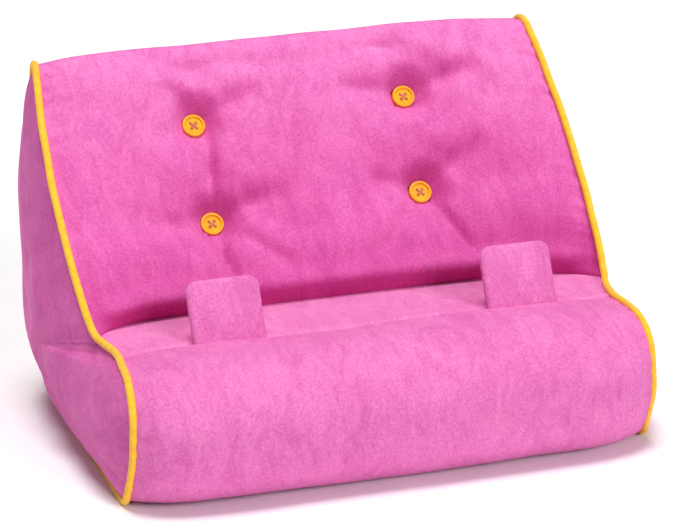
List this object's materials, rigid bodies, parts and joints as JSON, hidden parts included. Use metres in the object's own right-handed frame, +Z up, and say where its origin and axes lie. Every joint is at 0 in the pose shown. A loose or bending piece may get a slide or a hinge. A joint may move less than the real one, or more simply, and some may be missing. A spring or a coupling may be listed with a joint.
{
  "type": "tablet rest cushion",
  "caption": "Small stuffed cushion shaped like a sofa, with a ledge, a buttoned reclined back and hinged tabs that hold a tablet or book.",
  "frame": {"origin": "on the ground, under the middle of the cushion's overall box", "axes": "+Z up, +X to the right as seen by the user, -Y is the front, where the bolster is"},
  "size_m": [0.288, 0.2118, 0.1778],
  "materials": {
    "cover_fabric": "short-pile microsuede, pink",
    "piping_fabric": "plain woven bias tape, golden yellow",
    "piping_cord": "twisted cotton cord, off-white",
    "liner_fabric": "thin non-woven liner, white",
    "bead_filling": "expanded foam beads, white",
    "wadding": "polyester wadding, white",
    "button": "glossy, golden yellow",
    "thread": "polyester thread, dull pink-brown",
    "stay_button": "satin, off-white",
    "stiffener": "matte board, pale grey"
  },
  "bodies": {
    "cushion": {"bolster_panel": "cover_fabric", "ledge_panel": "cover_fabric", "backrest_panel": "cover_fabric", "back_panel": "cover_fabric", "base_panel": "cover_fabric", "side_panel_left": "cover_fabric", "side_panel_right": "cover_fabric", "piping_tape_left": "piping_fabric", "piping_cord_left": "piping_cord", "liner_side_left": "liner_fabric", "piping_tape_right": "piping_fabric", "piping_cord_right": "piping_cord", "liner_side_right": "liner_fabric", "liner_wrap": "liner_fabric", "bead_filling": "bead_filling", "backrest_wadding": "wadding", "button_upper_left": "button", "tuft_thread_upper_left": "thread", "stay_button_upper_left": "stay_button", "button_upper_right": "button", "tuft_thread_upper_right": "thread", "stay_button_upper_right": "stay_button", "button_lower_left": "button", "tuft_thread_lower_left": "thread", "stay_button_lower_left": "stay_button", "button_lower_right": "button", "tuft_thread_lower_right": "thread", "stay_button_lower_right": "stay_button", "flap_left_hem": "cover_fabric", "flap_right_hem": "cover_fabric"},
    "flap_left": {"flap_left_front_cover": "cover_fabric", "flap_left_back_cover": "cover_fabric", "flap_left_stiffener": "stiffener"},
    "flap_right": {"flap_right_front_cover": "cover_fabric", "flap_right_back_cover": "cover_fabric", "flap_right_stiffener": "stiffener"}
  },
  "joints": [
    {"name": "flap_left_hinge", "type": "hinge", "parent": "cushion", "child": "flap_left", "pos_m": [-0.071, -0.0475, 0.06864], "axis": [1, 0, 0], "range_deg": [-45, 85], "stiffness_Nm_per_rad": 0.02},
    {"name": "flap_right_hinge", "type": "hinge", "parent": "cushion", "child": "flap_right", "pos_m": [0.077, -0.0475, 0.06864], "axis": [1, 0, 0], "range_deg": [-45, 85], "stiffness_Nm_per_rad": 0.02}
  ]
}
